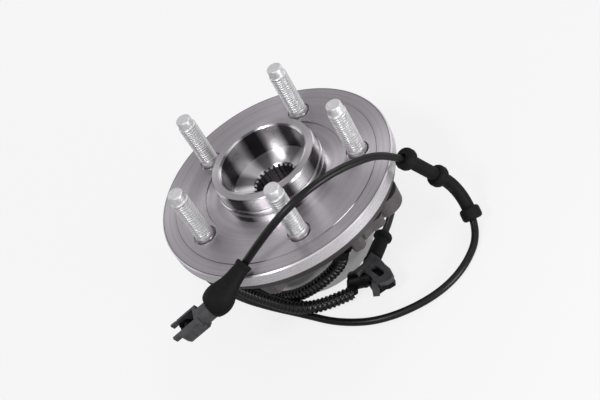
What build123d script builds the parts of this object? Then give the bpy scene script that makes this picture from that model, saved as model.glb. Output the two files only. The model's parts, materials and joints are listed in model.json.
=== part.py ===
from build123d import *
import math
import os

os.makedirs("parts", exist_ok=True)

# Frame: mm. Z is the hub axis, pointing outboard. z = 0 is the wheel mounting face.
# The knuckle end of the housing is the lowest point.

# --- wheel side -----------------------------------------------------------
flange_r = 79.6            # wheel flange
flange_cyl = 8.8           # straight rim height below the face
flange_t = 16.5            # flange thickness
flange_back_r = flange_r - 3.6   # rim radius at the back face
face_step_r = flange_r - 10.1    # the outer ring of the face is turned a little lower
face_step = 0.4
recess_r1 = 47.6           # shallow ring recess round the pilots
recess_d = 1.2
rotor_pilot_r = 36.4
rotor_pilot_top = 7.5
pilot_groove_d = 1.5
wheel_pilot_r = rotor_pilot_r - 1.15
wheel_pilot_top = rotor_pilot_top + 10.0
pocket_r = wheel_pilot_r - 6.8   # nut pocket inside the pilots
pocket_floor = -2.5
stud_count = 5
stud_pcd = 114.3
stud_az0 = 54.0
stud_r = 6.0               # M12
stud_collar_r = stud_r + 0.65
stud_seat_r = stud_collar_r + 1.05   # counterbore round each stud
stud_seat_d = 3.0
stud_len = 40.4            # above the face
stud_thread = (3.4, stud_len - 6.2)  # thread from here to here
thread_pitch = 1.5
thread_d = 0.6             # shown depth
stud_dog_r = stud_r - 0.9
stud_head_r = 9.5
stud_head_t = 4.0

# --- spline ---------------------------------------------------------------
spline_teeth = 27
spline_major_r = 15.6
spline_minor_r = spline_major_r - 1.3
spline_top = -4.6

# --- bearing --------------------------------------------------------------
ball_r = 5.95
ball_count = 12
pitch_r = 29.5
row_z = (-43.5, -62.5)
race_gap = 0.25            # ball to raceway
race_r = ball_r + race_gap
land_out_r = pitch_r + 3.5           # housing land between the rows
shoulder_in_r = pitch_r - 3.0        # spindle and ring shoulders
low_in_r = pitch_r - race_r
seal_land_r = 31.0
stub_r = 19.5              # the pressed ring sits on this
ring_top = (row_z[0] + row_z[1]) / 2
cage_r0 = shoulder_in_r + 0.4
cage_r1 = land_out_r - 0.7
cage_pocket_gap = 0.1

# --- housing --------------------------------------------------------------
floor_z = -72.0
ring_end = floor_z + 1.0    # inboard end of the inner ring and spindle
knuckle_z = -39.0          # face that bolts to the knuckle
knuckle_t = 12.0
knuckle_pilot_r = 41.5
collar_r = knuckle_pilot_r + 2.5
notch_r = collar_r + 2.0   # between the two lobes at the sensor
body_r = notch_r + 4.0
housing_top = -20.5
housing_bore_r = 38.0
seal_case_r = housing_bore_r - 3.4
lug_pcd_r = body_r + 11.2
lug_r = 12.0
lug_az = (330.0, 155.0, 62.5)
lug_hole_r = 5.1           # tapped M12
lobe_x = (20.5, 31.0)      # right lobe, a straight block beside the sensor
lobe_reach = 7.0           # past the body circle
web_t = 8.0                # low web between the right lobe and the first lug
web = ((-39.0, 11.8), (-43.5, 16.4), (-46.5, 16.0), (-51.5, 11.8), (-57.5, 10.6), (-60.0, 8.0))
left_lobe = ((245.0, 8.0), (240.7, 13.3), (234.7, 13.3), (226.7, 9.8))   # angle, past body

# --- seals and tone ring --------------------------------------------------
seal_z0 = housing_top - 0.5
seal_z1 = seal_z0 - 5.0
seal_clear = 0.35
tone_z0 = seal_z1 - 2.0
tone_z1 = tone_z0 - 6.5
tone_r = housing_bore_r - 2.0
tone_teeth = 48
inner_seal_z1 = floor_z + 0.6
inner_seal_z0 = inner_seal_z1 + 2.8
inner_seal_r = pitch_r + race_r + 0.5

# --- speed sensor ---------------------------------------------------------
sensor_az = 285.0
sensor_z = -31.5
sensor_stem_r = 4.9
sensor_tip_gap = 0.8
sensor_head = (13.0, 14.0, 11.0)   # radial, tangential, axial
sensor_ear_len = 12.0
screw_r = 3.0                      # M6

# --- harness --------------------------------------------------------------
conduit_d = 9.0
cable_d = 4.8
cable_z = floor_z + cable_d / 2 + 0.05
conduit_z = floor_z + conduit_d / 2 + 0.05


def polar(r, az, z=0.0):
    a = math.radians(az)
    return (r * math.cos(a), r * math.sin(a), z)


def ring_solid(points):
    """Revolve a closed (r, z) outline about the hub axis."""
    with BuildSketch(Plane.XZ) as sk:
        with BuildLine():
            Polyline(*points, close=True)
        make_face()
    return revolve(sk.sketch, Axis.Z)


def along(origin, direction):
    """Plane whose normal is the direction a piece is drawn along."""
    return Plane(origin=origin, z_dir=direction)


def cyl(plane, r, z0, z1):
    part = extrude(Plane.XY.offset(z0) * Circle(r), z1 - z0)
    return plane.location * part


def block(plane, x0, x1, y0, y1, z0, z1):
    part = Pos((x0 + x1) / 2, (y0 + y1) / 2, (z0 + z1) / 2) * Box(x1 - x0, y1 - y0, z1 - z0)
    return plane.location * part


def turned(plane, points):
    """Solid of revolution from (r, height) points about a plane's normal."""
    with BuildSketch(Plane.XZ) as sk:
        with BuildLine():
            Polyline(*points, close=True)
        make_face()
    return plane.location * revolve(sk.sketch, Axis.Z)


def mid(a, b, t=0.5):
    return tuple(p + (q - p) * t for p, q in zip(a, b))


def unit(a, b):
    d = [q - p for p, q in zip(a, b)]
    n = math.sqrt(sum(v * v for v in d))
    return tuple(v / n for v in d)


def bend_radii(points):
    """Bend radius at each corner: 0.45 of the shorter run over tan(half turn)."""
    v = [Vector(*p) for p in points]
    radii = []
    for a, b, c in zip(v, v[1:], v[2:]):
        turn = math.radians((b - a).get_angle(c - b))
        radii.append(0.45 * min((b - a).length, (c - b).length) / math.tan(turn / 2))
    return radii


def run_tube(points, radii, r_out, r_in=0.0):
    path = FilletPolyline(*points, radius=radii)
    start = Plane(origin=points[0], z_dir=unit(points[0], points[1]))
    sec = Circle(r_out)
    if r_in:
        sec = sec - Circle(r_in)
    return sweep(start * sec, path=path), path


# ==========================================================================
# rotating side
# ==========================================================================
def race_arc_points(z_c, a0, a1, n=10):
    """Raceway groove points: circle round the ball pitch point."""
    out = []
    for i in range(n + 1):
        a = math.radians(a0 + (a1 - a0) * i / n)
        out.append((pitch_r + race_r * math.cos(a), z_c + race_r * math.sin(a)))
    return out


def shoulder_angle(r):
    return math.degrees(math.acos((r - pitch_r) / race_r))


def make_spindle():
    a = shoulder_angle(shoulder_in_r)
    outer = [
        (pocket_r, wheel_pilot_top - 0.8),
        (pocket_r + 0.8, wheel_pilot_top),
        (wheel_pilot_r - 0.7, wheel_pilot_top),
        (wheel_pilot_r, wheel_pilot_top - 1.2),
        (wheel_pilot_r, rotor_pilot_top + 1.1),
        (wheel_pilot_r - 0.5, rotor_pilot_top + 0.8),
        (wheel_pilot_r - 0.5, rotor_pilot_top),
        (rotor_pilot_r - 0.5, rotor_pilot_top),
        (rotor_pilot_r, rotor_pilot_top - 0.6),
        (rotor_pilot_r, rotor_pilot_top - 1.2),
        (rotor_pilot_r - pilot_groove_d, rotor_pilot_top - 1.5),
        (rotor_pilot_r - pilot_groove_d, rotor_pilot_top - 3.9),
        (rotor_pilot_r, rotor_pilot_top - 4.2),
        (rotor_pilot_r, -recess_d),
        (recess_r1, -recess_d),
        (recess_r1 + 0.4, 0.0),
        (face_step_r, 0.0),
        (face_step_r + 0.2, -face_step),
        (flange_r - 0.9, -face_step),
        (flange_r, -face_step - 0.9),
        (flange_r, -flange_cyl),
        (flange_back_r + 0.4, -flange_t + 0.6),
        (flange_back_r - 0.4, -flange_t),
        (seal_land_r + 10.0, -flange_t),
        (seal_land_r + 6.6, -flange_t - 1.1),
        (seal_land_r + 5.0, -flange_t - 2.9),
        (seal_land_r + 2.6, -flange_t - 3.6),
        (seal_land_r, -flange_t - 4.1),
        (seal_land_r, tone_z1 - 0.1),
        (shoulder_in_r + 1.9, tone_z1 - 1.9),
        (shoulder_in_r, tone_z1 - 2.4),
    ]
    groove = race_arc_points(row_z[0], a, 180.0)
    lower = [
        (low_in_r, ring_top),
        (stub_r, ring_top),
        (stub_r, ring_end + 0.8),
        (stub_r - 0.8, ring_end),
        (spline_minor_r + 1.6, ring_end),
        (spline_minor_r, ring_end + 1.4),
        (spline_minor_r, spline_top - 1.2),
        (spline_major_r + 0.4, spline_top + 0.3),
        (pocket_r - 1.25, pocket_floor - 0.3),
        (pocket_r, pocket_floor),
    ]
    part = ring_solid(outer + groove + lower)
    part -= make_spline_gaps()
    for i in range(stud_count):
        x, y, _ = polar(stud_pcd / 2, stud_az0 + 72 * i)
        part -= Pos(x, y, -flange_t / 2) * Cylinder(stud_collar_r, flange_t + 4)
        part -= Pos(x, y, -stud_seat_d / 2) * Cylinder(stud_seat_r, stud_seat_d)
    return part


def split_spindle(whole):
    """Flange disc, pilot ring and spindle: together they are the one forging."""
    top = stud_len
    disc = ring_solid([(rotor_pilot_r, -flange_t), (flange_r + 5, -flange_t),
                       (flange_r + 5, top), (rotor_pilot_r, top)])
    ring = ring_solid([(0.0, -recess_d), (rotor_pilot_r, -recess_d), (rotor_pilot_r, top),
                       (0.0, top)])
    flange = whole & disc
    pilot = whole & ring
    return whole - disc - ring, flange, pilot


def make_spline_gaps():
    """The gaps between the spline's teeth, one solid."""
    step = 2 * math.pi / spline_teeth
    pts = []
    for i in range(spline_teeth):
        c = i * step
        for r, f in ((spline_minor_r - 0.3, -0.30), (spline_major_r, -0.18),
                     (spline_major_r, 0.18), (spline_minor_r - 0.3, 0.30)):
            pts.append((r * math.cos(c + f * step), r * math.sin(c + f * step)))
    face = make_face(Polyline(*pts, close=True))
    length = spline_top - ring_end + 2.0
    return extrude(Plane.XY.offset(ring_end - 1.0) * face, length)


def thread_points():
    """V grooves at the thread's pitch, from the top down, as (r, z) points."""
    lo, hi = stud_thread
    count = int((hi - lo) / thread_pitch)
    pts = []
    for i in range(count):
        z = hi - i * thread_pitch
        pts += [(stud_r, z), (stud_r - thread_d, z - thread_pitch / 2)]
    return pts + [(stud_r, hi - count * thread_pitch)]


def make_studs():
    head_z = -flange_t
    profile = [
        (0.0, stud_len),
        (4.5, stud_len),
        (stud_dog_r, stud_len - 0.9),
        (stud_dog_r, stud_thread[1] + 0.9),
    ] + thread_points() + [
        (stud_r, 1.8),
        (stud_collar_r, 1.0),
        (stud_collar_r, head_z),
        (stud_head_r, head_z),
        (stud_head_r, head_z - stud_head_t + 0.8),
        (stud_head_r - 0.8, head_z - stud_head_t),
        (0.0, head_z - stud_head_t),
    ]
    one = ring_solid(profile)
    return Compound(children=[Pos(*polar(stud_pcd / 2, stud_az0 + 72 * i)) * copy_of(one)
                              for i in range(stud_count)])


def copy_of(shape):
    return Pos(0, 0, 0) * shape


def make_inner_ring():
    a = shoulder_angle(shoulder_in_r)
    groove = race_arc_points(row_z[1], 180.0, 360.0 - a)
    pts = [(stub_r, ring_top - 0.5), (stub_r + 0.5, ring_top), (low_in_r, ring_top)]
    pts += groove
    pts += [(shoulder_in_r, ring_end + 0.5), (shoulder_in_r - 0.5, ring_end), (stub_r, ring_end)]
    return ring_solid(pts)


def make_balls(z_c):
    return Compound(children=[Pos(*polar(pitch_r, 360 * i / ball_count, z_c)) * Sphere(ball_r)
                              for i in range(ball_count)])


def make_cage(z_c, side):
    """Snap cage: a solid ring on the side of the other row, pockets for the balls."""
    z_ring = z_c + side * (ball_r + 1.5)
    z_tip = z_c - side * 2.6
    lo, hi = min(z_ring, z_tip), max(z_ring, z_tip)
    ring = ring_solid([(cage_r0, lo), (cage_r1, lo), (cage_r1, hi), (cage_r0, hi)])
    for i in range(ball_count):
        ring -= Pos(*polar(pitch_r, 360 * i / ball_count, z_c)) * Sphere(ball_r + cage_pocket_gap)
    return ring


def make_tone_ring():
    """Toothed pickup ring pressed on the seal land."""
    part = ring_solid([(seal_land_r, tone_z1), (tone_r, tone_z1), (tone_r, tone_z0),
                       (seal_land_r, tone_z0)])
    step = 360 / tone_teeth
    w = math.radians(step) * tone_r * 0.5
    for i in range(tone_teeth):
        part -= Rot(0, 0, i * step) * Pos(tone_r, 0, (tone_z0 + tone_z1) / 2) * Box(
            2.4, w, tone_z0 - tone_z1 + 1)
    return part


def make_seal_case():
    t = 1.0
    return ring_solid([
        (housing_bore_r, seal_z0), (housing_bore_r, seal_z1), (seal_case_r, seal_z1),
        (seal_case_r, seal_z1 + t), (housing_bore_r - t, seal_z1 + t), (housing_bore_r - t, seal_z0)])


def make_seal_lip():
    """Rubber bonded to the case, lips a hair off the spindle."""
    t = 1.0
    r_in = seal_land_r + seal_clear
    return ring_solid([
        (housing_bore_r - t, seal_z0 - 0.2), (housing_bore_r - t, seal_z1 + t),
        (seal_case_r, seal_z1 + t), (seal_case_r, seal_z1), (seal_case_r - 1.2, seal_z1),
        (r_in, seal_z1 - 0.6), (r_in, seal_z1 + 0.6), (seal_case_r - 2.0, seal_z1 + 1.7),
        (r_in, seal_z0 - 2.2), (r_in, seal_z0 - 1.2), (seal_case_r - 1.0, seal_z0 - 1.6),
        (seal_case_r + 0.8, seal_z0 - 1.6), (seal_case_r + 1.6, seal_z0 - 0.2)])


def make_inner_seal():
    t = 0.9
    r_in = shoulder_in_r + 1.9
    return ring_solid([
        (inner_seal_r, inner_seal_z0), (inner_seal_r, inner_seal_z1),
        (inner_seal_r - t, inner_seal_z1), (inner_seal_r - t, inner_seal_z0 - t),
        (r_in, inner_seal_z0 - t), (r_in, inner_seal_z0)])


def make_flinger():
    """Thrower ring on the inner ring, inside the inboard seal."""
    t = 0.8
    r_out = inner_seal_r - 0.9 - 0.4
    return ring_solid([
        (shoulder_in_r, inner_seal_z0), (shoulder_in_r + t, inner_seal_z0),
        (shoulder_in_r + t, inner_seal_z1 + t), (r_out, inner_seal_z1 + t),
        (r_out, inner_seal_z1), (shoulder_in_r, inner_seal_z1 + 0.4)])


# ==========================================================================
# fixed housing
# ==========================================================================
def lug_sketch(az):
    """Lug outline: tangent lines from the body circle to the lug circle."""
    x, y, _ = polar(lug_pcd_r, az)
    inner = Pos(*polar(body_r - 20.0, az)) * Circle(20.0)
    return make_hull(inner.edges() + (Pos(x, y) * Circle(lug_r)).edges())


def flange_outline():
    sk = Sketch() + Circle(body_r)
    for az in lug_az:
        sk += lug_sketch(az)
    x0, x1 = lobe_x
    depth = body_r / 2
    right = Pos((x0 + x1) / 2, -body_r - lobe_reach + depth / 2) * Rectangle(x1 - x0, depth)
    sk += fillet(right.vertices().sort_by(Axis.Y)[:2], 4.0)
    rim = [polar(body_r + past, az)[:2] for az, past in left_lobe]
    az0, az1 = left_lobe[0][0], left_lobe[-1][0]
    foot = [polar(body_r * 0.76, az1 - 6)[:2], polar(body_r * 0.72, az0 - 4)[:2]]
    sk += make_face(Polyline(*rim, *foot, close=True))
    left_x = polar(body_r + left_lobe[0][1], az0)[0]
    notch = Pos((left_x + x0) / 2, -body_r) * Rectangle(x0 - left_x, body_r) - Circle(notch_r)
    return sk - notch


def make_housing():
    a = shoulder_angle(land_out_r)
    z0, z1 = row_z
    bottom = floor_z
    # groove points run from the open side of each row to the middle land
    top_groove = race_arc_points(z0, 0.0, -a)
    low_groove = race_arc_points(z1, a, 0.0)
    bore = [
        (housing_bore_r, housing_top),
        (housing_bore_r, row_z[0] + 7.3),
        (pitch_r + race_r, row_z[0] + 6.5),
    ] + top_groove + low_groove + [
        (pitch_r + race_r, inner_seal_z0),
        (inner_seal_r, inner_seal_z0),
        (inner_seal_r, bottom),
    ]
    outer = [
        (knuckle_pilot_r - 0.9, bottom),
        (knuckle_pilot_r, bottom + 1.2),
        (knuckle_pilot_r, knuckle_z),
        (collar_r, knuckle_z),
        (collar_r, housing_top - 0.8),
        (collar_r - 0.8, housing_top),
    ]
    barrel = ring_solid(bore + outer)
    plate = extrude(Plane.XY.offset(knuckle_z) * (flange_outline() - Circle(collar_r)), knuckle_t)
    plate = soften_edges(plate)
    rim = [polar(body_r + past, az)[:2] for az, past in web]
    foot = [polar(collar_r - 2.0, web[-1][0])[:2], polar(collar_r - 2.0, web[0][0] + 6)[:2]]
    plate += extrude(Plane.XY.offset(knuckle_z) * make_face(Polyline(*rim, *foot, close=True)), web_t)
    plate += sensor_boss()
    plate -= cyl(Plane.XY, collar_r, floor_z, housing_top)
    for az in lug_az:
        x, y, _ = polar(lug_pcd_r, az)
        mouth = knuckle_z + knuckle_t / 2
        plate -= Pos(x, y, mouth) * Cylinder(lug_hole_r, knuckle_t + 4)
    cuts = sensor_cuts()
    return barrel - cuts, plate - cuts


def soften_edges(plate):
    top = knuckle_z + knuckle_t
    edges = [e for e in plate.edges() if abs(e.center().Z - top) < 0.01 and e.length > 3
             and math.hypot(e.center().X, e.center().Y) > collar_r + 1]
    try:
        return chamfer(edges, 1.0)
    except Exception:
        return plate


def sensor_plane():
    """Origin on the hub axis; normal points out along the sensor, x is hub up."""
    return Plane(origin=(0, 0, sensor_z), x_dir=(0, 0, 1), z_dir=polar(1, sensor_az))


# in the sensor plane: x is axial (up), y is tangential, z is radial
def sensor_boss():
    t0 = ear_side() * (sensor_head[1] / 2 + 1.0)
    t1 = ear_side() * (sensor_head[1] / 2 + sensor_ear_len)
    return block(sensor_plane(), -7.0, 4.4, min(t0, t1), max(t0, t1), 39.5, notch_r)


def ear_side():
    # tangential sign that points from the sensor to the left lobe
    return 1.0


def ear_centre():
    return ear_side() * (sensor_head[1] / 2 + sensor_ear_len / 2 - 0.5)


def sensor_cuts():
    pl = sensor_plane()
    half = sensor_head[1] / 2 + 0.5
    far = sensor_head[1] / 2 + sensor_ear_len + 0.5
    y0, y1 = sorted((ear_side() * far, -ear_side() * half))
    cut = block(pl, -8.5, 6.0, y0, y1, notch_r, 90.0)
    cut += cyl(pl, sensor_stem_r + 0.1, 30.0, 60.0)
    hole = Plane(origin=pl.from_local_coords((0, ear_centre(), 0)), x_dir=(0, 0, 1), z_dir=pl.z_dir)
    return cut + cyl(hole, screw_r, 41.0, 60.0)


def make_sensor():
    pl = sensor_plane()
    rad, tan, axial = sensor_head
    z0 = notch_r
    part = cyl(pl, sensor_stem_r, tone_r + sensor_tip_gap, z0 + 1.0)
    head = block(pl, -axial / 2, axial / 2, -tan / 2, tan / 2, z0, z0 + rad)
    head = chamfer(head.edges().filter_by(Axis(pl.origin, pl.z_dir)), 1.5)
    y0, y1 = sorted((ear_side() * tan / 2, ear_side() * (tan / 2 + sensor_ear_len - 0.5)))
    ear = block(pl, -5.0, 4.0, y0, y1, z0, z0 + 3.0)
    part = part + head + ear
    d = unit(conduit_route[0], conduit_route[1])
    spigot = along(conduit_route[0], d)
    part += cyl(spigot, conduit_d / 2 - 0.4, -7.0, 0.0)
    hole = Plane(origin=pl.from_local_coords((0, ear_centre(), 0)), x_dir=(0, 0, 1), z_dir=pl.z_dir)
    part -= cyl(hole, screw_r + 0.2, z0 - 1.0, z0 + 6.0)
    groove = sensor_stem_r - 1.3
    ring = turned(pl, [(groove, z0 - 4.6), (sensor_stem_r + 1, z0 - 4.6),
                       (sensor_stem_r + 1, z0 - 2.6), (groove, z0 - 2.6)])
    return part - ring


def make_sensor_oring():
    pl = sensor_plane()
    at = pl.location * Pos(0, 0, notch_r - 3.6)
    return at * Torus(sensor_stem_r - 0.8, 0.85)


def make_sensor_screw():
    pl = sensor_plane()
    hole = Plane(origin=pl.from_local_coords((0, ear_centre(), 0)), x_dir=(0, 0, 1), z_dir=pl.z_dir)
    seat = notch_r + 3.0
    part = cyl(hole, screw_r, 42.0, seat)
    part += cyl(hole, 5.4, seat, seat + 0.9)
    hexagon = extrude(Plane.XY.offset(seat + 0.9) * RegularPolygon(5.0, 6), 3.6)
    return part + hole.location * hexagon


# ==========================================================================
# harness routes: corner points of straight runs joined by tangent arcs
# ==========================================================================
def conduit_points():
    high = conduit_z + 5.3          # lies over the cable here
    return [
        (14.0, -53.1, -39.4),
        polar(53.0, 281.0, -46.5),
        polar(50.2, 262.0, -54.5),
        polar(49.6, 240.0, -61.5),
        polar(49.6, 216.0, conduit_z + 0.3),
        polar(49.4, 190.0, conduit_z),
        (-46.0, 22.0, conduit_z),
        (-30.0, 47.0, conduit_z),
        (-8.0, 66.0, conduit_z),
        (-8.0, 92.0, conduit_z),
        (-35.0, 100.0, conduit_z),
        (-60.0, 84.0, conduit_z),
        (-67.5, 57.0, conduit_z),
        (-67.0, 30.0, conduit_z + 2.0),
        (-62.6, -4.0, high),
        (-46.0, -29.0, high),
        (-27.5, -52.6, high),
        (-11.0, -59.6, high - 1.5),
        conduit_end,
    ]


# connector B lies on the floor under its grey cover
floor_gap = 0.1
cover_z = (-59.3, -56.6)           # the cover plate with the bail slot
step_z = -64.2                     # the overhang under the bail ends here
plug_r = 6.3
plug_from = (24.0, -55.6, floor_z + plug_r + 0.05)
plug_to = (9.8, -50.1, floor_z + plug_r + 0.05)
neck_r = 3.6
conduit_end = (8.0, -58.9, floor_z + conduit_d / 2 + 1.1)
neck_to = (11.2, -50.6, floor_z + plug_r)
cover_outline = [
    (14.9, -51.7), (24.6, -49.1), (30.6, -44.7), (33.6, -52.0), (34.8, -59.8), (36.3, -64.9),
    (36.2, -70.6), (34.7, -74.2), (29.8, -74.3), (26.2, -72.6), (23.3, -65.7), (23.3, -61.9),
    (20.8, -55.1), (19.4, -55.1), (16.6, -56.8)]
cover_slot = [(25.3, -56.6), (29.4, -57.2), (32.2, -64.7), (31.2, -67.3), (28.2, -67.5), (25.3, -59.5)]
base_outline = [
    (19.5, -50.0), (24.5, -44.5), (31.0, -40.8), (33.2, -46.0), (33.6, -60.0), (30.0, -66.0),
    (22.5, -67.0), (19.4, -62.0)]
overhang_outline = [
    (21.0, -50.0), (24.5, -44.5), (31.0, -40.8), (33.6, -51.5), (34.6, -60.0), (35.6, -65.0),
    (35.5, -70.4), (34.2, -73.4), (30.0, -73.6), (26.6, -72.0), (22.4, -64.0)]


conduit_route = conduit_points()

boot_b_dir = unit((32.6, -38.0, 0), (48.6, -20.6, 0))
boot_b_from = (33.2, -38.6, floor_z + 6.3)
boot_b_len = 16.5
boot_b_end = tuple(p + boot_b_len * d for p, d in zip(boot_b_from, boot_b_dir))

boot_a_from = (-35.9, -66.1, 7.2)
boot_a_to = (-61.2, -76.9, 1.1)
boot_a_dir = unit(boot_a_from, boot_a_to)
conn_a_from = (-64.6, -78.2, 0.0)
conn_a_to = (-92.0, -76.6, -8.6)
conn_a_dir = unit(conn_a_from, conn_a_to)

cable_route = [
    boot_a_from,
    (-12.0, -69.9, 25.8),
    (15.0, -67.8, 34.6),
    (42.5, -56.0, 27.0),
    (70.8, -44.2, 9.4),
    (98.6, -40.0, -48.5),
    (96.5, -62.5, cable_z),
    (76.0, -84.0, cable_z),
    (50.0, -92.6, cable_z),
    (17.0, -89.0, cable_z),
    (-8.0, -73.6, cable_z),
    (-27.0, -51.6, cable_z),
    (-44.4, -32.6, cable_z),
    (-61.0, -12.0, cable_z),
    (-75.5, 14.0, cable_z),
    (-86.0, 44.0, cable_z),
    (-80.0, 80.0, cable_z),
    (-52.0, 106.0, cable_z),
    (-14.0, 115.0, cable_z),
    (24.0, 105.0, cable_z),
    (52.0, 79.0, cable_z),
    (64.0, 48.0, cable_z),
    (65.5, 17.0, cable_z),
    (57.5, -9.0, cable_z + 1.6),
    boot_b_end,
]


def grommet_plane(i):
    """Plane at a grommet, along the cable."""
    run = ((4, 5, 0.225), (4, 5, 0.69), (5, 6, 0.60))[i]
    a, b = cable_route[run[0]], cable_route[run[1]]
    return along(mid(a, b, run[2]), unit(a, b))


def make_grommet(i):
    half = (3.4, 3.4, 4.2)[i]
    r = (7.0, 7.0, 6.6)[i]
    bore = cable_d / 2
    pts = [
        (bore, -half), (r - 1.8, -half), (r - 0.5, -half + 0.7), (r, -half + 2.0),
        (r, half - 2.0), (r - 0.5, half - 0.7), (r - 1.8, half), (bore, half)]
    return turned(grommet_plane(i), pts)


def make_sleeve_1():
    a = grommet_plane(0)
    span = math.dist(tuple(a.origin), tuple(grommet_plane(1).origin))
    return turned(a, [(cable_d / 2, 3.4), (4.25, 3.4), (4.25, span - 3.4), (cable_d / 2, span - 3.4)])


def make_sleeve_2():
    """Bent sleeve between the second and third grommets."""
    g2 = grommet_plane(1)
    g3 = grommet_plane(2)
    a = g2.from_local_coords((0, 0, 3.4))
    b = g3.from_local_coords((0, 0, -4.2))
    pts = [(a.X, a.Y, a.Z), cable_route[5], (b.X, b.Y, b.Z)]
    radii = bend_radii(cable_route)[4:5]
    tube, _ = run_tube(pts, radii, 4.25, cable_d / 2)
    return tube


def make_boot_a():
    pl = along(boot_a_from, boot_a_dir)
    pts = [
        (0.0, 0.0), (4.5, 0.0), (5.1, 0.5), (5.1, 2.7), (4.7, 3.2), (4.7, 4.4), (5.0, 7.0),
        (5.4, 11.0), (6.2, 15.0), (7.6, 19.0), (8.8, 22.0), (9.3, 24.5), (9.35, 26.5),
        (9.0, 29.0), (8.1, 31.4), (6.9, 33.4), (5.4, 35.0), (0.0, 36.5)]
    return turned(pl, pts) - conn_a_cutter()


def conn_a_plane():
    side = Vector(*conn_a_dir).cross(Vector(0, 0, 1)).normalized()
    return Plane(origin=conn_a_from, x_dir=side, z_dir=conn_a_dir)


def conn_a_cutter():
    return block(conn_a_plane(), -20, 20, -20, 20, 0, 60)


# connector A local frame: x across, y down, z along the plug axis
conn_a_w = 13.2
conn_a_top = 5.3
conn_a_bottom = 6.3
conn_a_len = 28.6          # to the tips of the walls
conn_a_end = 25.0          # to the end of the shell
conn_a_walls = (3.2, 1.5)  # the near and the far wall of the channel
conn_a_floor = 2.4
conn_a_neck = 9.5


def channel_a():
    """Width range and floor height of connector A's channel."""
    near, far = conn_a_walls
    return -conn_a_w / 2 + near, conn_a_w / 2 - far, conn_a_bottom - conn_a_floor


def make_conn_a():
    pl = conn_a_plane()
    w, top = conn_a_w / 2, conn_a_top
    x0, x1, y1 = channel_a()
    with BuildSketch() as sk:
        with Locations((0, (conn_a_bottom - top) / 2)):
            Rectangle(conn_a_w, conn_a_bottom + top)
        fillet(sk.vertices().filter_by(lambda v: v.Y > 0), 3.4)
        chamfer(sk.vertices().filter_by(lambda v: v.Y < 0 and v.X < 0), 1.3)
    body = extrude(Plane.XY.offset(conn_a_neck - 1.0) * sk.sketch, conn_a_end - conn_a_neck + 1.0)
    rounded = [e for e in body.edges().group_by(Axis.Z)[-1] if e.center().Y > 1]
    body = pl.location * chamfer(rounded, 1.8)
    # open at the top and at the front
    body -= block(pl, x0, x1, -top - 1, y1, conn_a_neck + 1.6, conn_a_len)
    part = cyl(pl, 5.9, 0.0, conn_a_neck) + body
    part += block(pl, x1, w, -top, -top + 3.2, conn_a_end - 0.5, conn_a_len)
    part += block(pl, x0 - 1.9, x0, -top, -top + 3.6, conn_a_end - 0.5, conn_a_len)
    # lip under the neck
    rim = cyl(pl, 7.1, conn_a_neck - 1.6, conn_a_neck) & block(pl, -9, 9, 0, 9, 0, conn_a_len)
    return part + rim


def blade_spots():
    x0, x1, _ = channel_a()
    return (x0 + 0.9, x1 - 3.1)


def make_conn_a_lock():
    """Terminal carrier: fills the outer half of the channel."""
    pl = conn_a_plane()
    top = conn_a_top
    x0, x1, y1 = channel_a()
    z0, z1 = conn_a_neck + 8.0, conn_a_end - 0.6
    side = make_face(Polyline((y1, z0 - 2.0), (y1, z1), (-top + 2.6, z1), (-top + 2.6, z0 + 2.0),
                              (-top + 4.2, z0), close=True))
    part = pl.location * extrude(Plane.YZ.offset(x0) * side, x1 - x0)
    part -= block(pl, x0 + 2.4, x1 - 2.4, -top, -top + 3.6, z0 + 3.0, z1 + 1)
    for x in blade_spots():
        part -= block(pl, x, x + 2.2, y1 - 3.4, y1 - 1.0, z1 - 5.0, z1 + 1)
    return part


def make_conn_a_terminals():
    pl = conn_a_plane()
    _, _, y1 = channel_a()
    z1 = conn_a_end - 0.6
    blades = [block(pl, x + 0.3, x + 1.9, y1 - 2.6, y1 - 1.8, z1 - 5.0, z1 - 0.4)
              for x in blade_spots()]
    return Compound(children=blades)


def slab(outline, z0, z1):
    return extrude(Plane.XY.offset(z0) * make_face(Polyline(*outline, close=True)), z1 - z0)


def make_conn_b():
    body = slab(base_outline, floor_z + floor_gap, step_z + 0.5)
    body += slab(overhang_outline, step_z, cover_z[0])
    body = chamfer(body.edges().group_by(Axis.Z)[0], 0.8)
    # grip teeth along the overhang
    for i in range(4):
        body -= Pos(35.2, -65.0 - 2.0 * i, step_z) * Box(3.0, 1.0, 4.4)
    pl = along(boot_b_from, boot_b_dir)
    return body - block(pl, -3.0, 3.0, -1.6, 1.6, -10.0, -4.0)


def make_latch_b():
    """Grey cover with the bail loop, and the strap down its front."""
    plate = slab(cover_outline, *cover_z) - slab(cover_slot, cover_z[0] - 1, cover_z[1] + 1)
    plate = chamfer(plate.faces().sort_by(Axis.Z)[-1].outer_wire().edges(), 0.6)
    foot = Pos(24.0, -66.6, cover_z[0]) * Rot(0, 0, -30) * Rectangle(4.4, 2.6)
    lean = Vector(-3.2, 0.6, floor_z + 0.6 - cover_z[0])
    strap = extrude(foot, lean.length, dir=lean.normalized())
    return plate + strap


def make_plug_b():
    """Round rubber plug on the connector's side, with the conduit's neck."""
    main = along(plug_to, unit(plug_to, plug_from))
    n = math.dist(plug_to, plug_from)
    pts = [(0.0, 0.0), (5.2, 0.0), (plug_r - 0.3, 1.0), (plug_r - 0.3, 8.6), (plug_r, 9.0),
           (plug_r, 10.4), (plug_r - 0.4, 10.8), (plug_r - 0.4, n), (0.0, n)]
    neck = along(conduit_end, unit(conduit_end, neck_to))
    return turned(main, pts) + cyl(neck, neck_r, 0.0, math.dist(conduit_end, neck_to))


def make_conn_b_terminals():
    pl = along(boot_b_from, boot_b_dir)
    return Compound(children=[block(pl, s * 1.8 - 0.75, s * 1.8 + 0.75, -0.4, 0.4, -10.0, -4.6)
                              for s in (-1, 1)])


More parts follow.
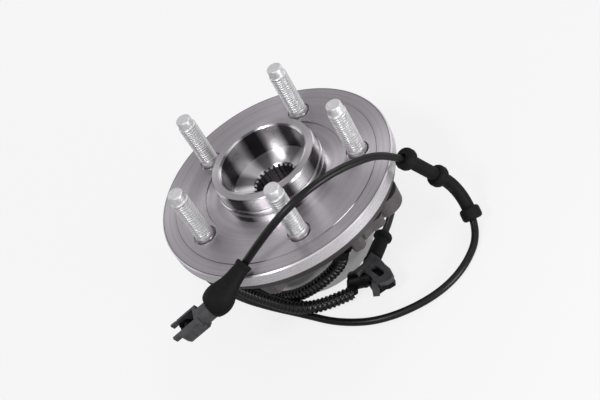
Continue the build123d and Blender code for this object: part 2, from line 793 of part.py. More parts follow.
def make_boot_b():
    pl = along(boot_b_from, boot_b_dir)
    pts = [
        (0.0, -4.0), (5.0, -4.0), (4.9, 7.0), (4.6, 9.4), (4.7, 10.2), (5.6, 10.8), (6.15, 11.6),
        (6.15, 13.6), (5.6, 14.6), (4.2, 15.2), (3.5, boot_b_len), (0.0, boot_b_len)]
    return turned(pl, pts)


# ==========================================================================
# build
# ==========================================================================
def save(shape, name):
    export_step(shape, f"parts/{name}.step")


def main():
    spindle, hub_flange, hub_pilot = split_spindle(make_spindle())
    studs = make_studs()
    housing, housing_flange = make_housing()
    sensor = make_sensor()
    oring = make_sensor_oring()
    sensor -= oring
    conduit, conduit_path = run_tube(conduit_route, bend_radii(conduit_route), conduit_d / 2)
    cable, cable_path = run_tube(cable_route, bend_radii(cable_route), cable_d / 2)
    latch_b = make_latch_b()
    terminals_b = make_conn_b_terminals()
    conn_b = make_conn_b() - latch_b
    boot_b = make_boot_b() - conn_b
    plug_b = make_plug_b() - conn_b - latch_b - conduit
    parts = {
        "hub_spindle": spindle,
        "hub_flange": hub_flange,
        "hub_pilot": hub_pilot,
        "wheel_studs": studs,
        "inner_ring": make_inner_ring(),
        "tone_ring": make_tone_ring(),
        "seal_flinger": make_flinger(),
        "balls_outboard": make_balls(row_z[0]),
        "balls_inboard": make_balls(row_z[1]),
        "cage_outboard": make_cage(row_z[0], -1),
        "cage_inboard": make_cage(row_z[1], 1),
        "outer_housing": housing,
        "housing_flange": housing_flange,
        "seal_case_outboard": make_seal_case(),
        "seal_lip_outboard": make_seal_lip(),
        "seal_case_inboard": make_inner_seal(),
        "speed_sensor": sensor,
        "sensor_oring": oring,
        "sensor_screw": make_sensor_screw(),
        "sensor_conduit": conduit,
        "plug_b": plug_b,
        "connector_b": conn_b,
        "latch_b": latch_b,
        "terminals_b": terminals_b,
        "boot_b": boot_b,
        "harness_cable": cable,
        "grommet_1": make_grommet(0),
        "grommet_2": make_grommet(1),
        "grommet_3": make_grommet(2),
        "sleeve_1": make_sleeve_1(),
        "sleeve_2": make_sleeve_2(),
        "boot_a": make_boot_a(),
        "connector_a": make_conn_a(),
        "lock_a": make_conn_a_lock(),
        "terminals_a": make_conn_a_terminals(),
    }
    for name, shape in parts.items():
        save(shape, name)
    for name, path, d, solid, pts in (
            ("conduit", conduit_path, conduit_d, conduit, conduit_route),
            ("cable", cable_path, cable_d, cable, cable_route)):
        area = math.pi * d * d / 4
        length = sum(e.length for e in path.edges())
        radii = [round(r, 1) for r in bend_radii(pts)]
        print(name, "length", round(length, 1), "volume ratio", round(solid.volume / area / length, 4))
        print("  radii", radii)
    for name, shape in parts.items():
        b = shape.bounding_box()
        print(f"{name:20s} vol {shape.volume:10.1f} solids {len(shape.solids())} "
              f"z {b.min.Z:7.2f} {b.max.Z:7.2f}")


main()
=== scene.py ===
import json
import math

import bmesh
import bpy
from mathutils import Matrix, Vector


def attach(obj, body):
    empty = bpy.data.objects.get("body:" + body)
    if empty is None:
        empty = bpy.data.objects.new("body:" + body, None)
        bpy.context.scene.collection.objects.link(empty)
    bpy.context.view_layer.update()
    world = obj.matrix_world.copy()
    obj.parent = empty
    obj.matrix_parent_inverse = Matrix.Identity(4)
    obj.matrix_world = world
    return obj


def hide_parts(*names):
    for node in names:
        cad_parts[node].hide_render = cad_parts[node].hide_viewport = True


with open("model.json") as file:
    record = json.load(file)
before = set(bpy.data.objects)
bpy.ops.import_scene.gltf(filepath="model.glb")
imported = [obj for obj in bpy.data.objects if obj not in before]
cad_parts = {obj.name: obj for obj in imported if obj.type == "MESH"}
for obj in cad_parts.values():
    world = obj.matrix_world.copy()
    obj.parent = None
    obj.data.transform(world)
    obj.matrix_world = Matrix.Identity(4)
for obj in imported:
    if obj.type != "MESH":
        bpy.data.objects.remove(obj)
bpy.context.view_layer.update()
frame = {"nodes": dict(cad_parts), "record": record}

MM = 0.001

# --------------------------------------------------------------------------
# the part's own sizes, in mm, as in its source
# --------------------------------------------------------------------------
FLOOR_Z = -72.0
CONDUIT_D = 9.0
CABLE_D = 4.8
FLOOR_GAP = 0.05           # under a cord that lies on the floor
CABLE_Z = FLOOR_Z + CABLE_D / 2 + FLOOR_GAP
CONDUIT_Z = FLOOR_Z + CONDUIT_D / 2 + FLOOR_GAP

RIM_R = 78.75              # inside the rim's chamfer
RIM_BOTTOM = -9.0          # the taper behind the rim starts here
TAPER_R = 60.0             # the taper lies outside this
FACE_SHADE_LINES = ((69.3, 69.85, 0.45), (78.3, 78.75, 0.75))   # painted shade lines: from r, to r, darkness
FACE_FOOT = -2.0           # the painted shade lines stop here
PILOT_R = 38.0             # outside the pilot's wall
PILOT_FOOT = -5.0          # the wall's painted reflection streaks stop here
POCKET_R = 30.0            # outside the nut pocket
MACHINED_TOP = -38.9       # the housing is machined below this

STUD_COUNT = 5
STUD_PCD = 114.3
STUD_AZ0 = 54.0
STUD_R = 6.0
COLLAR_TOP = 1.9
THREAD_PITCH = 1.5
THREAD_LO = 3.4
THREAD_HI = 34.0
THREAD_DEPTH = 0.62
THREAD_RUNOUT = 0.9


def polar(r, az, z=0.0):
    a = math.radians(az)
    return (r * math.cos(a), r * math.sin(a), z)


# --------------------------------------------------------------------------
# camera
# --------------------------------------------------------------------------
CAM_POS = (0.044036, -0.529295, 0.433589)
CAM_RIGHT = (0.871595, -0.285843, -0.398266)
CAM_UP = (0.487315, 0.593611, 0.640430)
CAM_BACK = (0.053353, -0.752276, 0.656684)
CAM_LENS = 64.866
CAM_SENSOR = 36.0


def link(name, data):
    """New object of the scene that holds the given data."""
    obj = bpy.data.objects.new(name, data)
    bpy.context.scene.collection.objects.link(obj)
    return obj


def add_camera():
    data = bpy.data.cameras.new("camera")
    data.sensor_width = CAM_SENSOR
    data.sensor_fit = "HORIZONTAL"
    data.lens = CAM_LENS
    data.clip_start = 0.01
    data.clip_end = 20.0
    cam = link("camera", data)
    pose = Matrix.Identity(4)
    for column, values in enumerate((CAM_RIGHT, CAM_UP, CAM_BACK, CAM_POS)):
        for row, value in enumerate(values):
            pose[row][column] = value
    cam.matrix_world = pose
    bpy.context.scene.camera = cam


# --------------------------------------------------------------------------
# material helpers
# --------------------------------------------------------------------------
def lin(hex_code):
    """sRGB hex to linear RGBA."""
    out = []
    for i in (0, 2, 4):
        c = int(hex_code[i:i + 2], 16) / 255
        out.append(c / 12.92 if c <= 0.04045 else ((c + 0.055) / 1.055) ** 2.4)
    return (*out, 1.0)


class Graph:
    """A material's node tree with short calls to add to it."""

    def __init__(self, name):
        self.mat = bpy.data.materials.new(name)
        self.mat.use_nodes = True
        self.tree = self.mat.node_tree
        self.bsdf = self.tree.nodes["Principled BSDF"]
        self.coords = self.add("ShaderNodeTexCoord").outputs["Object"]

    def add(self, kind, inputs=None, **props):
        node = self.tree.nodes.new(kind)
        for key, value in props.items():
            setattr(node, key, value)
        for key, value in (inputs or {}).items():
            self.put(node.inputs[key], value)
        return node

    def put(self, socket, value):
        if isinstance(value, bpy.types.NodeSocket):
            self.tree.links.new(value, socket)
        else:
            socket.default_value = value

    def math(self, op, a, b=0.0):
        return self.add("ShaderNodeMath", {0: a, 1: b}, operation=op).outputs[0]

    def plus(self, a, b):
        return self.math("ADD", a, b)

    def times(self, a, b):
        return self.math("MULTIPLY", a, b)

    def above(self, value, limit):
        return self.math("GREATER_THAN", value, limit)

    def below(self, value, limit):
        return self.math("LESS_THAN", value, limit)

    def rest_of(self, value):
        return self.math("SUBTRACT", 1.0, value)

    def noise(self, per_mm, detail=3.0, rough=0.55):
        """Noise with about per_mm features to the millimetre."""
        n = self.add("ShaderNodeTexNoise", {"Vector": self.coords, "Scale": per_mm * 1000,
                                             "Detail": detail, "Roughness": rough})
        return n.outputs["Fac"]

    def rings(self, along, scale, detail, rough):
        """Lathe rings: noise along one length, in mm."""
        n = self.add("ShaderNodeTexNoise", {"W": along, "Scale": scale, "Detail": detail,
                                             "Roughness": rough}, noise_dimensions="1D")
        return n.outputs["Fac"]

    def band(self, value, lo, hi, out_lo=0.0, out_hi=1.0):
        n = self.add("ShaderNodeMapRange", {"Value": value, "From Min": lo, "From Max": hi,
                                             "To Min": out_lo, "To Max": out_hi})
        return n.outputs["Result"]

    def mix(self, fac, a, b):
        n = self.add("ShaderNodeMix", data_type="RGBA")
        self.put(n.inputs[0], fac)
        self.put(n.inputs[6], a)
        self.put(n.inputs[7], b)
        return n.outputs[2]

    def bump(self, height, dist_mm, strength):
        n = self.add("ShaderNodeBump", {"Height": height, "Distance": dist_mm * MM,
                                         "Strength": strength})
        self.put(self.bsdf.inputs["Normal"], n.outputs["Normal"])

    def set(self, **values):
        for key, value in values.items():
            self.put(self.bsdf.inputs[key.replace("_", " ")], value)

    def xyz(self):
        s = self.add("ShaderNodeSeparateXYZ", {0: self.coords})
        return s.outputs[0], s.outputs[1], s.outputs[2]

    def height_mm(self):
        """Height above the wheel mounting face, in mm."""
        return self.times(self.xyz()[2], 1000.0)

    def radius_mm(self):
        """Distance from the hub axis, in mm."""
        x, y, _ = self.xyz()
        squares = self.plus(self.times(x, x), self.times(y, y))
        return self.times(self.math("SQRT", squares), 1000.0)


REFLECTION_STREAKS = 7.0                       # bright painted reflection streaks in one turn
REFLECTION_PHASE_OUT = math.radians(150.0)    # phase on the pilot's outer wall
REFLECTION_PHASE_IN = math.radians(-23.0)     # phase in the nut pocket


def painted_reflection_tone(g, r):
    """Painted reflections: bright and dark streaks that run along the axis, from 0 to 1."""
    x, y, _ = g.xyz()
    turn = g.times(g.math("ARCTAN2", y, x), REFLECTION_STREAKS)
    inside = g.below(r, POCKET_R)
    phase = g.math("SUBTRACT", REFLECTION_PHASE_OUT, g.times(inside, REFLECTION_PHASE_OUT - REFLECTION_PHASE_IN))
    return g.band(g.math("SINE", g.plus(turn, phase)), -0.6, 0.7)


def turned_steel():
    """Lathe-turned steel: fine rings round the hub axis; the taper behind the rim is painted darker
    as painted shade.
    """
    g = Graph("turned_steel")
    r = g.radius_mm()
    z = g.height_mm()
    on_rim = g.above(r, RIM_R)
    along = g.plus(g.times(r, g.rest_of(on_rim)), z)
    fine = g.rings(along, 3.2, 5.0, 0.75)
    coarse = g.rings(along, 0.35, 2.0, 0.5)
    spots = g.noise(0.05, 4.0)
    normal = g.add("ShaderNodeNewGeometry").outputs["Normal"]
    upward = g.add("ShaderNodeSeparateXYZ", {0: normal}).outputs[2]
    flat = g.band(g.math("ABSOLUTE", upward), 0.6, 0.9)

    base = g.mix(g.band(fine, 0.3, 0.7), lin("ADA8AE"), lin("C2BDC3"))
    base = g.mix(g.band(coarse, 0.35, 0.65, 0.0, 0.35), base, lin("9F9AA0"))
    # painted shade: the taper behind the rim faces down, away from the light, and is painted darker
    shaded_taper = g.times(g.below(z, RIM_BOTTOM), g.above(r, TAPER_R))
    base = g.mix(shaded_taper, base, g.mix(spots, lin("4A4748"), lin("5E5A5A")))
    # painted highlight: the rim is painted lighter where it catches the light; painted shade: thin
    # dark lines at the face's step and the rim's chamfer
    rim = g.times(on_rim, g.above(z, RIM_BOTTOM))
    base = g.mix(rim, base, lin("D2CED3"))
    # painted shade: thin dark lines at the face's step and inside the rim's chamfer
    for lo, hi, darkness in FACE_SHADE_LINES:
        line = g.times(g.above(r, lo), g.below(r, hi))
        line = g.times(line, g.above(z, FACE_FOOT))
        base = g.mix(g.times(line, darkness), base, lin("3A383B"))
    # painted reflections: bright and dark streaks on the pilot's walls, and weaker ones on the
    # pocket's floor
    painted_reflections = g.mix(painted_reflection_tone(g, r), lin("4C494B"), lin("F6F4F6"))
    pilot = g.times(g.below(r, PILOT_R), g.above(z, PILOT_FOOT))
    wall = g.times(pilot, g.rest_of(flat))
    pocket_floor = g.times(g.times(g.below(r, POCKET_R), flat), 0.6)
    base = g.mix(g.plus(wall, pocket_floor), base, painted_reflections)

    rough = g.plus(g.band(fine, 0.3, 0.7, 0.24, 0.29), g.band(spots, 0.3, 0.7, -0.03, 0.04))
    rough = g.plus(rough, g.times(flat, 0.14))
    rough = g.plus(rough, g.times(shaded_taper, 0.2))
    tangent = g.add("ShaderNodeTangent", direction_type="RADIAL", axis="Z").outputs[0]
    g.set(Base_Color=base, Metallic=g.band(rim, 0.0, 1.0, 1.0, 0.7), Roughness=rough,
          Anisotropic=0.8, Anisotropic_Rotation=0.25, Tangent=tangent)
    g.bump(fine, 0.004, 0.6)
    return g.mat


def zinc_steel():
    """Zinc plated fasteners and pressed rings."""
    g = Graph("zinc_plated_steel")
    n = g.noise(0.35, 4.0)
    g.set(Base_Color=g.mix(g.band(n, 0.35, 0.65), lin("D8D9DA"), lin("C4C5C6")),
          Metallic=0.75, Roughness=g.band(n, 0.3, 0.7, 0.34, 0.46))
    g.bump(n, 0.01, 0.4)
    return g.mat


CROSS_PER_M = 3600.0       # radians
CROSS_SLANT = 0.9


def stud_steel():
    """Bright plated studs; rolling left a fine crossed pattern on the threads."""
    g = Graph("bright_plated_stud")
    n = g.noise(0.5, 4.0)
    x, y, z = g.xyz()
    slant = g.times(g.plus(x, y), CROSS_SLANT)
    ways = [g.math(sign, z, slant) for sign in ("ADD", "SUBTRACT")]
    cross = g.times(*[g.math("SINE", g.times(way, CROSS_PER_M)) for way in ways])
    on_thread = g.times(g.above(z, THREAD_LO * MM), g.below(z, THREAD_HI * MM))
    tone = g.times(g.band(cross, -0.6, 0.6), on_thread)
    base = g.mix(g.band(n, 0.35, 0.65), lin("E8E7E9"), lin("D6D5D7"))
    base = g.mix(g.times(tone, 0.6), base, lin("858486"))
    # painted shade: the collar at the stud's foot, where it meets the face, is painted darker
    base = g.mix(g.times(g.below(z, COLLAR_TOP * MM), 0.8), base, lin("7A777A"))
    g.set(Base_Color=base, Metallic=0.65, Roughness=0.36)
    g.bump(g.times(cross, on_thread), 0.06, 0.5)
    return g.mat


def bearing_steel():
    """Ground and polished rolling surfaces."""
    g = Graph("polished_bearing_steel")
    n = g.noise(0.2, 3.0)
    g.set(Base_Color=g.mix(n, lin("C4C4C8"), lin("D2D2D4")), Metallic=1.0,
          Roughness=g.band(n, 0.3, 0.7, 0.10, 0.16))
    return g.mat


def forged_housing():
    """Forged steel housing: dull skin above the pilot, machined below the knuckle face."""
    g = Graph("forged_and_machined_steel")
    r = g.radius_mm()
    z = g.height_mm()
    skin = g.noise(0.6, 6.0, 0.7)
    patch = g.noise(0.06, 3.0)
    rings = g.rings(g.plus(r, z), 3.0, 4.0, 0.7)
    machined = g.below(z, MACHINED_TOP)
    cast = g.mix(g.band(skin, 0.3, 0.7), lin("544F51"), lin("726D70"))
    cast = g.mix(g.band(patch, 0.4, 0.65, 0.0, 0.5), cast, lin("625B5A"))
    cut = g.mix(g.band(rings, 0.3, 0.7), lin("D0CDCF"), lin("E0DEDF"))
    g.set(Base_Color=g.mix(machined, cast, cut),
          Metallic=g.band(machined, 0.0, 1.0, 0.6, 0.7),
          Roughness=g.band(machined, 0.0, 1.0, 0.55, 0.33))
    g.bump(g.mix(machined, skin, g.times(rings, 0.05)), 0.12, 0.6)
    return g.mat


def rubber(name, dark, light, rough, shine):
    """Moulded rubber or PVC with a fine dusty skin."""
    g = Graph(name)
    n = g.noise(0.5, 5.0, 0.65)
    fine = g.noise(3.0, 2.0)
    g.set(Base_Color=g.mix(g.band(n, 0.35, 0.7), lin(dark), lin(light)),
          Roughness=g.band(n, 0.3, 0.7, rough - 0.05, rough + 0.07), Specular_IOR_Level=shine)
    g.bump(fine, 0.01, 0.5)
    return g.mat


def plastic(name, dark, light, rough, shine):
    """Glass-filled nylon, lightly grained."""
    g = Graph(name)
    n = g.noise(0.25, 4.0)
    grain = g.noise(4.0, 2.0)
    g.set(Base_Color=g.mix(g.band(n, 0.35, 0.65), lin(dark), lin(light)),
          Roughness=g.band(n, 0.3, 0.7, rough - 0.04, rough + 0.06), Specular_IOR_Level=shine)
    g.bump(grain, 0.015, 0.4)
    return g.mat


def tinned_brass():
    """Terminal blades."""
    g = Graph("tinned_brass")
    n = g.noise(0.8, 3.0)
    g.set(Base_Color=g.mix(n, lin("B9AE8C"), lin("CFC9B4")), Metallic=1.0, Roughness=0.3)
    return g.mat


MATS = {
    "turned_steel": turned_steel(),
    "zinc_steel": zinc_steel(),
    "bearing_steel": bearing_steel(),
    "cast_housing": forged_housing(),
    "seal_rubber": rubber("nitrile_seal_rubber", "0A0A0B", "121213", 0.66, 0.12),
    "cable_rubber": rubber("cable_jacket_rubber", "0A0A0B", "111112", 0.32, 0.3),
    "black_plastic": plastic("black_nylon", "060607", "0C0C0D", 0.42, 0.12),
    "grey_plastic": plastic("dark_grey_nylon", "36363A", "454549", 0.45, 0.3),
    "cage_plastic": plastic("natural_nylon_cage", "8A7048", "A38A5C", 0.5, 0.4),
    "tinned_brass": tinned_brass(),
}
SLOT_OF = {s["node"]: s["material_slot"] for s in frame["record"]["subparts"]}
MATTE_RUBBER = rubber("matte_rubber", "0A0A0B", "121213", 0.62, 0.15)
WORN_NYLON = plastic("worn_black_nylon", "38383A", "464648", 0.5, 0.25)
# pieces whose finish differs from the rest of their slot
FINISH_OF = {
    "latch_b": WORN_NYLON,
    "connector_b": MATS["black_plastic"],
    "boot_a": MATTE_RUBBER,
    "boot_b": MATTE_RUBBER,
    "sleeve_1": MATTE_RUBBER,
    "sleeve_2": MATTE_RUBBER,
    "grommet_1": MATTE_RUBBER,
    "grommet_2": MATTE_RUBBER,
    "grommet_3": MATTE_RUBBER,
}


def dress_nodes():
    for name, obj in frame["nodes"].items():
        mat = FINISH_OF.get(name, MATS[SLOT_OF[name]])
        if not obj.material_slots:
            obj.data.materials.append(mat)
        for slot in obj.material_slots:
            slot.material = mat


# --------------------------------------------------------------------------
# harness routes, mm: control points of smooth splines
# --------------------------------------------------------------------------
HIGH = CONDUIT_Z + 5.3     # the conduit lies over the cable here
CONDUIT_ROUTE = [
    (14.0, -53.1, -39.4),
    polar(53.0, 281.0, -46.5),
    polar(50.2, 262.0, -54.5),
    polar(49.6, 240.0, -61.5),
    polar(49.6, 216.0, CONDUIT_Z + 0.3),
    polar(49.4, 190.0, CONDUIT_Z),
    (-46.0, 22.0, CONDUIT_Z),
    (-30.0, 47.0, CONDUIT_Z),
    (-8.0, 66.0, CONDUIT_Z),
    (-8.0, 92.0, CONDUIT_Z),
    (-35.0, 100.0, CONDUIT_Z),
    (-60.0, 84.0, CONDUIT_Z),
    (-67.5, 57.0, CONDUIT_Z),
    (-67.0, 30.0, CONDUIT_Z + 2.0),
    (-62.6, -4.0, HIGH),
    (-46.0, -29.0, HIGH),
    (-27.5, -52.6, HIGH),
    (-11.0, -59.6, HIGH - 1.5),
    (8.0, -58.9, FLOOR_Z + CONDUIT_D / 2 + 1.1),
]
CABLE_ROUTE = [
    (-35.9, -66.1, 7.2),
    (-12.0, -69.9, 25.8),
    (15.0, -67.8, 34.6),
    (42.5, -56.0, 27.0),
    (70.8, -44.2, 9.4),
    (98.6, -40.0, -48.5),
    (96.5, -62.5, CABLE_Z),
    (76.0, -84.0, CABLE_Z),
    (50.0, -92.6, CABLE_Z),
    (17.0, -89.0, CABLE_Z),
    (-8.0, -73.6, CABLE_Z),
    (-27.0, -51.6, CABLE_Z),
    (-44.4, -32.6, CABLE_Z),
    (-61.0, -12.0, CABLE_Z),
    (-75.5, 14.0, CABLE_Z),
    (-86.0, 44.0, CABLE_Z),
    (-80.0, 80.0, CABLE_Z),
    (-52.0, 106.0, CABLE_Z),
    (-14.0, 115.0, CABLE_Z),
    (24.0, 105.0, CABLE_Z),
    (52.0, 79.0, CABLE_Z),
    (64.0, 48.0, CABLE_Z),
    (65.5, 17.0, CABLE_Z),
    (57.5, -9.0, CABLE_Z + 1.6),
    (44.37, -26.45, -65.7),
]


def route_curve(name, points, bevel_mm=0.0):
    """Open NURBS curve through a route, in metres."""
    curve = bpy.data.curves.new(name, "CURVE")
    curve.dimensions = "3D"
    curve.resolution_u = 12
    spline = curve.splines.new("NURBS")
    spline.points.add(len(points) - 1)
    for p, co in zip(spline.points, points):
        p.co = (co[0] * MM, co[1] * MM, co[2] * MM, 1.0)
    spline.order_u = 3
    spline.use_endpoint_u = True
    if bevel_mm:
        curve.bevel_depth = bevel_mm * MM
        curve.bevel_resolution = 6
        curve.use_fill_caps = True
    return link(name, curve)


def route_points(points):
    """Points along the curve of a route, in metres."""
    guide = route_curve("guide", points)
    bpy.context.view_layer.update()
    mesh = bpy.data.meshes.new_from_object(guide)
    pts = [v.co.copy() for v in mesh.vertices]
    bpy.data.meshes.remove(mesh)
    bpy.data.objects.remove(guide)
    return pts


def length_of(pts):
    return sum((b - a).length for a, b in zip(pts, pts[1:]))


def walk(pts, step):
    """Points at even steps along a polyline, with their distances."""
    total = length_of(pts)
    n = max(2, round(total / step))
    lens = [(b - a).length for a, b in zip(pts, pts[1:])]
    out, seg, run = [], 0, 0.0
    for i in range(n + 1):
        want = total * i / n
        while seg < len(lens) - 1 and run + lens[seg] < want:
            run += lens[seg]
            seg += 1
        t = (want - run) / lens[seg]
        out.append((pts[seg].lerp(pts[seg + 1], min(1.0, t)), want))
    return out


def smooth_mesh(name, bm):
    """Mesh object with smooth faces from a bmesh, which it frees."""
    mesh = bpy.data.meshes.new(name)
    bm.to_mesh(mesh)
    bm.free()
    for f in mesh.polygons:
        f.use_smooth = True
    return link(name, mesh)


def swept_mesh(name, pts, radius_at, step, sides):
    """Tube whose radius follows radius_at(distance), on parallel frames."""
    stations = walk(pts, step)
    bm = bmesh.new()
    side = None
    rings = []
    for i, (p, s) in enumerate(stations):
        a = stations[max(0, i - 1)][0]
        b = stations[min(len(stations) - 1, i + 1)][0]
        t = (b - a).normalized()
        if side is None:
            side = t.orthogonal().normalized()
        side = (side - t * side.dot(t)).normalized()
        other = t.cross(side)
        r = radius_at(s)
        rings.append([bm.verts.new(p + (side * math.cos(k) + other * math.sin(k)) * r)
                      for k in (2 * math.pi * j / sides for j in range(sides))])
    for ra, rb in zip(rings, rings[1:]):
        for j in range(sides):
            k = (j + 1) % sides
            bm.faces.new((ra[j], ra[k], rb[k], rb[j]))
    bm.faces.new(list(reversed(rings[0])))
    bm.faces.new(rings[-1])
    return smooth_mesh(name, bm)


RIB_PITCH = 2.9
RIB_TOP = CONDUIT_D / 2
RIB_ROOT = 3.6
RIB_STEPS = 8
CONDUIT_SIDES = 28


def rib_radius(s):
    """Corrugated conduit profile: rounded crests, flat narrow roots."""
    u = (s / MM / RIB_PITCH) % 1.0
    c = 0.5 - 0.5 * math.cos(2 * math.pi * u)
    return (RIB_ROOT + (RIB_TOP - RIB_ROOT) * c ** 0.55) * MM


def add_conduit():
    pts = route_points(CONDUIT_ROUTE)
    conduit = swept_mesh("conduit_tube", pts, rib_radius, RIB_PITCH / RIB_STEPS * MM, CONDUIT_SIDES)
    conduit.data.materials.append(rubber("conduit_rubber", "050506", "0B0B0C", 0.24, 0.4))
    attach(conduit, "housing")
    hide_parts("sensor_conduit")


def add_cable():
    pts = route_points(CABLE_ROUTE)
    cable = route_curve("cable", CABLE_ROUTE, CABLE_D / 2)
    cable.data.materials.append(MATS["cable_rubber"])
    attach(cable, "housing")
    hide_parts("harness_cable")


# --------------------------------------------------------------------------
# wheel studs with rolled threads: (r, z) in mm below and above the thread
# --------------------------------------------------------------------------
STUD_LOW = [(0.0, -20.5), (8.7, -20.5), (9.5, -19.7), (9.5, -16.52), (6.64, -16.52), (6.64, 0.9),
            (6.5, 1.1), (6.05, 1.6), (6.0, 3.3)]
STUD_HIGH = [(5.95, 34.1), (5.15, 34.9), (5.1, 35.2), (5.1, 39.4), (4.95, 39.8), (4.5, 40.35),
             (0.0, 40.35)]
STUD_SIDES = 40
RINGS_PER_PITCH = 6
SHARP_ANGLE = 38.0


def thread_radius(z, turn):
    """Radius of the helical thread at height z (mm) and angle turn (0 to 1 of a turn)."""
    u = (z / THREAD_PITCH - turn) % 1.0
    flank = abs(2 * u - 1)
    runout = min(1.0, (z - THREAD_LO) / THREAD_RUNOUT, (THREAD_HI - z) / THREAD_RUNOUT)
    return STUD_R - THREAD_DEPTH * runout * min(1.0, max(0.0, 1.15 * flank - 0.05))


def stud_profile():
    """(r, z) from the head to the tip; r is None on the thread."""
    span = THREAD_HI - THREAD_LO
    n = int(span / THREAD_PITCH * RINGS_PER_PITCH)
    return STUD_LOW + [(None, THREAD_LO + span * (i + 0.5) / n) for i in range(n)] + STUD_HIGH


def stud_ring(bm, centre, r, z, start):
    """Vertices round a stud's axis at one height: a single one where r is 0."""
    if r == 0.0:
        return [bm.verts.new((centre[0] * MM, centre[1] * MM, z * MM))]
    ring = []
    for j in range(STUD_SIDES):
        turn = j / STUD_SIDES
        here = thread_radius(z, turn) if r is None else r
        a = 2 * math.pi * turn + start
        ring.append(bm.verts.new(((centre[0] + here * math.cos(a)) * MM,
                                  (centre[1] + here * math.sin(a)) * MM, z * MM)))
    return ring


def add_studs():
    bm = bmesh.new()
    for k in range(STUD_COUNT):
        centre = polar(STUD_PCD / 2, STUD_AZ0 + 360 / STUD_COUNT * k)
        rings = [stud_ring(bm, centre, r, z, 0.4 * k) for r, z in stud_profile()]
        for low, high in zip(rings, rings[1:]):
            for j in range(STUD_SIDES):
                m = (j + 1) % STUD_SIDES
                if len(low) == 1:
                    bm.faces.new((low[0], high[m], high[j]))
                elif len(high) == 1:
                    bm.faces.new((low[j], low[m], high[0]))
                else:
                    bm.faces.new((low[j], low[m], high[m], high[j]))
    obj = smooth_mesh("studs", bm)
    obj.data.materials.append(stud_steel())
    obj.data.set_sharp_from_angle(angle=math.radians(SHARP_ANGLE))
    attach(obj, "hub")
    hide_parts("wheel_studs")


# --------------------------------------------------------------------------
# studio
# --------------------------------------------------------------------------
STUDIO_WHITE = "F8F8F8"
FLOOR_HALF = 4.0           # metres
FLOOR_EVEN = 0.86          # how far the camera sees plain white instead of shadow
FLOOR_DARK = 0.4           # what metal sees of the floor, from the left
FLOOR_LIGHT = 0.75         # to the right
WORLD_DIFFUSE = 0.62
BOX_COUNT = 3.0            # soft boxes round the set
BOX_PHASE = 0.6
BOX_DARK = 0.2
BOX_LIGHT = 1.35
BOX_TOP = 0.92             # the even light overhead
LAMP_SPREAD = 12.0         # degrees


def add_floor():
    mesh = bpy.data.meshes.new("floor")
    s = FLOOR_HALF
    z = FLOOR_Z * MM
    mesh.from_pydata([(-s, -s, z), (s, -s, z), (s, s, z), (-s, s, z)], [], [(0, 1, 2, 3)])
    obj = link("floor", mesh)
    g = Graph("white_sweep")
    g.set(Base_Color=lin("EAEAEA"), Roughness=0.9, Specular_IOR_Level=0.0)
    # the camera sees an even white; metal sees a grey sweep that brightens toward +x
    path = g.add("ShaderNodeLightPath").outputs
    camera, glossy = path["Is Camera Ray"], path["Is Glossy Ray"]
    side = g.band(g.xyz()[0], -0.03, 0.10, FLOOR_DARK, FLOOR_LIGHT)
    glow = g.plus(g.times(glossy, side), g.rest_of(glossy))
    even = g.add("ShaderNodeEmission", {"Color": lin(STUDIO_WHITE), "Strength": glow}).outputs[0]
    share = g.plus(g.times(camera, FLOOR_EVEN), glossy)
    mixed = g.add("ShaderNodeMixShader", {0: share, 1: g.bsdf.outputs[0], 2: even}).outputs[0]
    g.put(g.tree.nodes["Material Output"].inputs["Surface"], mixed)
    mesh.materials.append(g.mat)


def add_area(name, pos, target, size, power):
    data = bpy.data.lights.new(name, "AREA")
    data.shape = "RECTANGLE"
    data.size, data.size_y = size
    data.energy = power
    obj = link(name, data)
    obj.location = pos
    aim = Vector(target) - Vector(pos)
    obj.rotation_euler = aim.to_track_quat("-Z", "Y").to_euler()


def add_sun(name, toward, power):
    """Distant lamp shining from the given direction."""
    data = bpy.data.lights.new(name, "SUN")
    data.energy = power
    data.angle = math.radians(LAMP_SPREAD)
    link(name, data).rotation_euler = Vector(toward).to_track_quat("Z", "Y").to_euler()


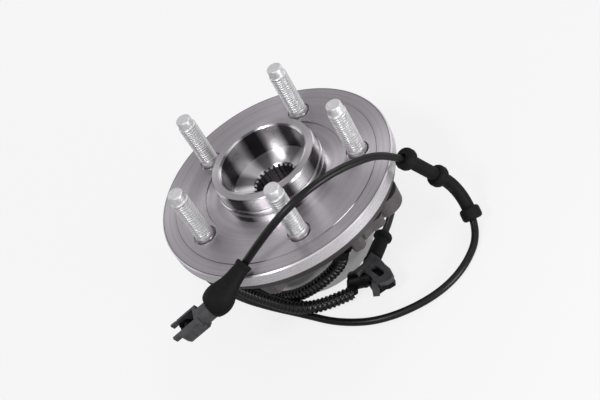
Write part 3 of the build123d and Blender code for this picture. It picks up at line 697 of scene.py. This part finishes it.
def add_world():
    """White for the camera, soft boxes for reflections, plain light for the rest."""
    world = bpy.data.worlds.new("studio")
    bpy.context.scene.world = world
    world.use_nodes = True
    nodes, links = world.node_tree.nodes, world.node_tree.links

    def background(color):
        node = nodes.new("ShaderNodeBackground")
        node.inputs["Color"].default_value = color
        return node

    def calc(op, *values):
        node = nodes.new("ShaderNodeMath")
        node.operation = op
        for i, value in enumerate(values):
            if isinstance(value, bpy.types.NodeSocket):
                links.new(value, node.inputs[i])
            else:
                node.inputs[i].default_value = value
        return node.outputs[0]

    def soft(value, lo, hi, out_lo, out_hi):
        node = nodes.new("ShaderNodeMapRange")
        node.interpolation_type = "SMOOTHSTEP"
        links.new(value, node.inputs["Value"])
        for key, v in zip(("From Min", "From Max", "To Min", "To Max"), (lo, hi, out_lo, out_hi)):
            node.inputs[key].default_value = v
        return node.outputs["Result"]

    def choose(fac, a, b):
        node = nodes.new("ShaderNodeMixShader")
        for i, socket in enumerate((fac, a, b)):
            links.new(socket, node.inputs[i])
        return node.outputs[0]

    coord = nodes.new("ShaderNodeTexCoord")
    split = nodes.new("ShaderNodeSeparateXYZ")
    links.new(coord.outputs["Generated"], split.inputs[0])
    # soft boxes and dark flags alternate round the set, under an even light overhead
    angle = calc("ARCTAN2", split.outputs[1], split.outputs[0])
    wave = calc("SINE", calc("MULTIPLY_ADD", angle, BOX_COUNT, BOX_PHASE))
    boxes = soft(wave, -0.25, 0.35, BOX_DARK, BOX_LIGHT)
    top = soft(split.outputs[2], 0.3, 0.75, 0.0, 1.0)
    around = calc("MULTIPLY", boxes, calc("SUBTRACT", 1.0, top))
    glossy = background((0.8, 0.8, 0.8, 1.0))
    links.new(calc("ADD", around, calc("MULTIPLY", top, BOX_TOP)), glossy.inputs["Strength"])

    plain = nodes["Background"]
    plain.inputs["Color"].default_value = (1.0, 1.0, 1.0, 1.0)
    plain.inputs["Strength"].default_value = WORLD_DIFFUSE
    seen = background(lin(STUDIO_WHITE))
    path = nodes.new("ShaderNodeLightPath").outputs
    light = choose(path["Is Glossy Ray"], plain.outputs[0], glossy.outputs[0])
    shown = choose(path["Is Camera Ray"], light, seen.outputs[0])
    links.new(shown, nodes["World Output"].inputs["Surface"])


def add_lights():
    add_sun("key", (-0.5, -0.45, 0.9), 0.9)
    add_sun("back", (0.5, 0.6, 0.7), 0.4)
    add_area("low_front", (0.34, -0.42, 0.02), (0.02, -0.02, -0.05), (0.22, 0.25), 1.6)


def main():
    add_camera()
    dress_nodes()
    add_conduit()
    add_cable()
    add_studs()
    add_floor()
    add_world()
    add_lights()
    scene = bpy.context.scene
    scene.view_settings.view_transform = "Standard"
    scene.view_settings.look = "None"
    scene.render.film_transparent = False


main()
